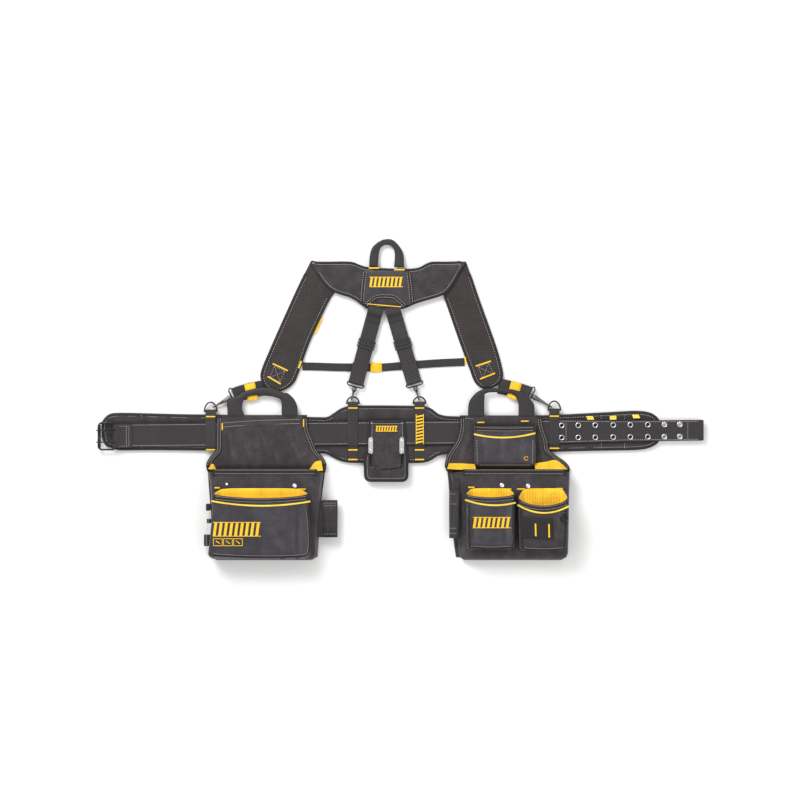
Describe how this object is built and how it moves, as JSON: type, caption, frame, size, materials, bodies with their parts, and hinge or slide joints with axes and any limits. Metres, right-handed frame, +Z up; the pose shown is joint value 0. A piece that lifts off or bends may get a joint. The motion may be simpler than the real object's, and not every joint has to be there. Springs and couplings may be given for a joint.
{
  "type": "tool belt",
  "caption": "Padded carpenter's tool belt with buckle, pocketed pouches, hammer loop, and a padded suspender yoke with snap hooks and D-rings, laid flat.",
  "frame": {"origin": "middle of the object's outline on the surface that it lies on", "axes": "+X along the belt towards its tongue, +Y towards the suspender yoke, +Z up"},
  "size_m": [1.4564, 0.7688, 0.0838],
  "materials": {
    "ballistic_polyester": "woven charcoal ballistic polyester, padded or stiffened, with pale grey stitching",
    "coated_polyester": "smooth coated polyester with a slight sheen",
    "webbing": "black woven polyester webbing",
    "yellow_elastic": "yellow woven elastic, lining and piping",
    "black_metal": "black lacquered steel wire",
    "nickel_plate": "satin nickel plated steel",
    "moulded_plastic": "black moulded acetal"
  },
  "bodies": {
    "belt": {"belt_pad": "ballistic_polyester", "belt_band": "webbing", "buckle_chape": "webbing", "ring_tab_front_left": "webbing", "ring_tab_back_left": "webbing", "ring_tab_back_right": "webbing", "ring_tab_front_right": "webbing", "yoke_pad": "ballistic_polyester", "yoke_patch": "coated_polyester", "hang_loop": "webbing", "shoulder_pad_left": "ballistic_polyester", "shoulder_pad_right": "ballistic_polyester", "back_strap_left": "webbing", "back_strap_right": "webbing", "front_strap_left": "webbing", "front_strap_right": "webbing", "chest_strap_left": "webbing", "chest_strap_right": "webbing", "chest_keeper": "yellow_elastic", "chest_buckle_socket": "moulded_plastic"},
    "buckle_frame": {"buckle_frame": "black_metal"},
    "buckle_roller": {"buckle_roller": "black_metal"},
    "prong_1": {"buckle_prong_1": "black_metal"},
    "prong_2": {"buckle_prong_2": "black_metal"},
    "ring_front_left": {"d_ring_front_left": "black_metal"},
    "eye_front_left": {"front_eye_left": "black_metal"},
    "hook_front_left": {"front_hook_left": "black_metal"},
    "gate_front_left": {"front_gate_left": "black_metal"},
    "ring_back_left": {"d_ring_back_left": "black_metal"},
    "eye_back_left": {"back_eye_left": "black_metal"},
    "hook_back_left": {"back_hook_left": "black_metal"},
    "gate_back_left": {"back_gate_left": "black_metal"},
    "ring_back_right": {"d_ring_back_right": "black_metal"},
    "eye_back_right": {"back_eye_right": "black_metal"},
    "hook_back_right": {"back_hook_right": "black_metal"},
    "gate_back_right": {"back_gate_right": "black_metal"},
    "ring_front_right": {"d_ring_front_right": "black_metal"},
    "eye_front_right": {"front_eye_right": "black_metal"},
    "hook_front_right": {"front_hook_right": "black_metal"},
    "gate_front_right": {"front_gate_right": "black_metal"},
    "slider_left": {"strap_slider_left": "moulded_plastic"},
    "slider_right": {"strap_slider_right": "moulded_plastic"},
    "chest_buckle_tongue": {"chest_buckle_tongue": "moulded_plastic"},
    "left_pouch": {"left_back_panel": "ballistic_polyester", "left_main_pocket": "ballistic_polyester", "left_front_pocket": "coated_polyester", "left_side_sleeve": "webbing"},
    "left_handle": {"left_handle": "webbing"},
    "right_pouch": {"right_back_panel": "ballistic_polyester", "right_main_pocket": "ballistic_polyester", "right_front_pocket_a": "coated_polyester", "right_front_pocket_b": "coated_polyester", "right_top_pocket": "coated_polyester", "right_side_sleeve": "webbing"},
    "right_handle": {"right_handle": "webbing"},
    "clip_ring": {"clip_ring": "black_metal"},
    "hammer_holder": {"hammer_holder": "ballistic_polyester", "loop_plate_left": "nickel_plate", "loop_plate_right": "nickel_plate"},
    "hammer_loop": {"hammer_loop": "black_metal"}
  },
  "joints": [
    {"name": "buckle_tilt", "type": "hinge", "parent": "belt", "child": "buckle_frame", "pos_m": [-0.684, -0.088, 0.0165], "axis": [0, 1, 0], "range_deg": [0, 60]},
    {"name": "roller_spin", "type": "hinge", "parent": "buckle_frame", "child": "buckle_roller", "pos_m": [-0.721, -0.088, 0.0165], "axis": [0, 1, 0], "continuous": true},
    {"name": "prong_1_lift", "type": "hinge", "parent": "buckle_frame", "child": "prong_1", "pos_m": [-0.684, -0.074, 0.0165], "axis": [0, 1, 0], "range_deg": [0, 50]},
    {"name": "prong_2_lift", "type": "hinge", "parent": "buckle_frame", "child": "prong_2", "pos_m": [-0.684, -0.102, 0.0165], "axis": [0, 1, 0], "range_deg": [0, 50]},
    {"name": "ring_front_left_lift", "type": "hinge", "parent": "belt", "child": "ring_front_left", "pos_m": [-0.454, -0.0276, 0.0095], "axis": [1, 0, 0], "range_deg": [0, 13]},
    {"name": "eye_front_left_tilt", "type": "hinge", "parent": "belt", "child": "eye_front_left", "pos_m": [-0.396, 0.01, 0.0095], "axis": [-0.4749, 0.8801, 0], "range_deg": [0, 4.1]},
    {"name": "hook_front_left_swivel", "type": "hinge", "parent": "eye_front_left", "child": "hook_front_left", "pos_m": [-0.396, 0.01, 0.0095], "axis": [-0.8801, -0.4749, 0], "range_deg": [-10, 10]},
    {"name": "gate_front_left_press", "type": "hinge", "parent": "hook_front_left", "child": "gate_front_left", "pos_m": [-0.43733, -0.0123, 0.0143], "axis": [0.4749, -0.8801, 0], "range_deg": [0, 7], "stiffness_Nm_per_rad": 0.02, "springref_deg": -11.46},
    {"name": "ring_back_left_lift", "type": "hinge", "parent": "belt", "child": "ring_back_left", "pos_m": [-0.1128, -0.0086, 0.0095], "axis": [1, 0, 0], "range_deg": [0, 13]},
    {"name": "eye_back_left_tilt", "type": "hinge", "parent": "belt", "child": "eye_back_left", "pos_m": [-0.1058, 0.0388, 0.0095], "axis": [-0.9654, 0.2606, 0], "range_deg": [0, 6.7]},
    {"name": "hook_back_left_swivel", "type": "hinge", "parent": "eye_back_left", "child": "hook_back_left", "pos_m": [-0.1058, 0.0388, 0.0095], "axis": [-0.2606, -0.9654, 0], "range_deg": [-10, 10]},
    {"name": "gate_back_left_press", "type": "hinge", "parent": "hook_back_left", "child": "gate_back_left", "pos_m": [-0.11314, 0.01161, 0.0143], "axis": [0.9654, -0.2606, 0], "range_deg": [0, 7], "stiffness_Nm_per_rad": 0.02, "springref_deg": -11.46},
    {"name": "ring_back_right_lift", "type": "hinge", "parent": "belt", "child": "ring_back_right", "pos_m": [0.0468, -0.0086, 0.0095], "axis": [1, 0, 0], "range_deg": [0, 13]},
    {"name": "eye_back_right_tilt", "type": "hinge", "parent": "belt", "child": "eye_back_right", "pos_m": [0.0338, 0.04, 0.0095], "axis": [-0.9601, -0.2796, 0], "range_deg": [0, 6.4]},
    {"name": "hook_back_right_swivel", "type": "hinge", "parent": "eye_back_right", "child": "hook_back_right", "pos_m": [0.0338, 0.04, 0.0095], "axis": [0.2796, -0.9601, 0], "range_deg": [-10, 10]},
    {"name": "gate_back_right_press", "type": "hinge", "parent": "hook_back_right", "child": "gate_back_right", "pos_m": [0.04213, 0.01138, 0.0143], "axis": [0.9601, 0.2796, 0], "range_deg": [0, 7], "stiffness_Nm_per_rad": 0.02, "springref_deg": -11.46},
    {"name": "ring_front_right_lift", "type": "hinge", "parent": "belt", "child": "ring_front_right", "pos_m": [0.37, -0.025, 0.0095], "axis": [1, 0, 0], "range_deg": [0, 13]},
    {"name": "eye_front_right_tilt", "type": "hinge", "parent": "belt", "child": "eye_front_right", "pos_m": [0.309, 0.013, 0.0095], "axis": [-0.495, -0.8689, 0], "range_deg": [0, 3.5]},
    {"name": "hook_front_right_swivel", "type": "hinge", "parent": "eye_front_right", "child": "hook_front_right", "pos_m": [0.309, 0.013, 0.0095], "axis": [0.8689, -0.495, 0], "range_deg": [-10, 10]},
    {"name": "gate_front_right_press", "type": "hinge", "parent": "hook_front_right", "child": "gate_front_right", "pos_m": [0.3524, -0.01173, 0.0143], "axis": [0.495, 0.8689, 0], "range_deg": [0, 7], "stiffness_Nm_per_rad": 0.02, "springref_deg": -11.46},
    {"name": "slider_left_slide", "type": "slide", "parent": "belt", "child": "slider_left", "axis": [-0.2608, -0.9654, 0], "range_m": [-0.035, 0.025]},
    {"name": "slider_right_slide", "type": "slide", "parent": "belt", "child": "slider_right", "axis": [0.2806, -0.9598, 0], "range_m": [-0.035, 0.025]},
    {"name": "chest_buckle_release", "type": "slide", "parent": "belt", "child": "chest_buckle_tongue", "axis": [1, 0, 0], "range_m": [0, 0.012], "deforming": ["chest_strap_right"]},
    {"name": "left_pouch_slide", "type": "slide", "parent": "belt", "child": "left_pouch", "axis": [1, 0, 0], "range_m": [0, 0.065]},
    {"name": "right_pouch_slide", "type": "slide", "parent": "belt", "child": "right_pouch", "axis": [1, 0, 0], "range_m": [-0.06, 0]},
    {"name": "left_handle_lift", "type": "hinge", "parent": "left_pouch", "child": "left_handle", "pos_m": [-0.33, -0.0348, 0.0155], "axis": [1, 0, 0], "range_deg": [0, 100]},
    {"name": "right_handle_lift", "type": "hinge", "parent": "right_pouch", "child": "right_handle", "pos_m": [0.243, -0.0348, 0.0155], "axis": [1, 0, 0], "range_deg": [0, 100]},
    {"name": "clip_ring_lift", "type": "hinge", "parent": "right_pouch", "child": "clip_ring", "pos_m": [0.3915, -0.276, 0.0824], "axis": [-1, 0, 0], "range_deg": [0, 90]},
    {"name": "hammer_holder_slide", "type": "slide", "parent": "belt", "child": "hammer_holder", "axis": [1, 0, 0], "range_m": [-0.012, 0.012]},
    {"name": "hammer_loop_swing", "type": "hinge", "parent": "hammer_holder", "child": "hammer_loop", "pos_m": [-0.033, -0.131, 0.0238], "axis": [-1, 0, 0], "range_deg": [-50, 60]}
  ],
  "couplings": [
    {"joint": "eye_front_left_tilt", "follows": "ring_front_left_lift", "ratio": 0.24},
    {"joint": "eye_back_left_tilt", "follows": "ring_back_left_lift", "ratio": 0.438},
    {"joint": "eye_back_right_tilt", "follows": "ring_back_right_lift", "ratio": 0.412},
    {"joint": "eye_front_right_tilt", "follows": "ring_front_right_lift", "ratio": 0.189}
  ]
}
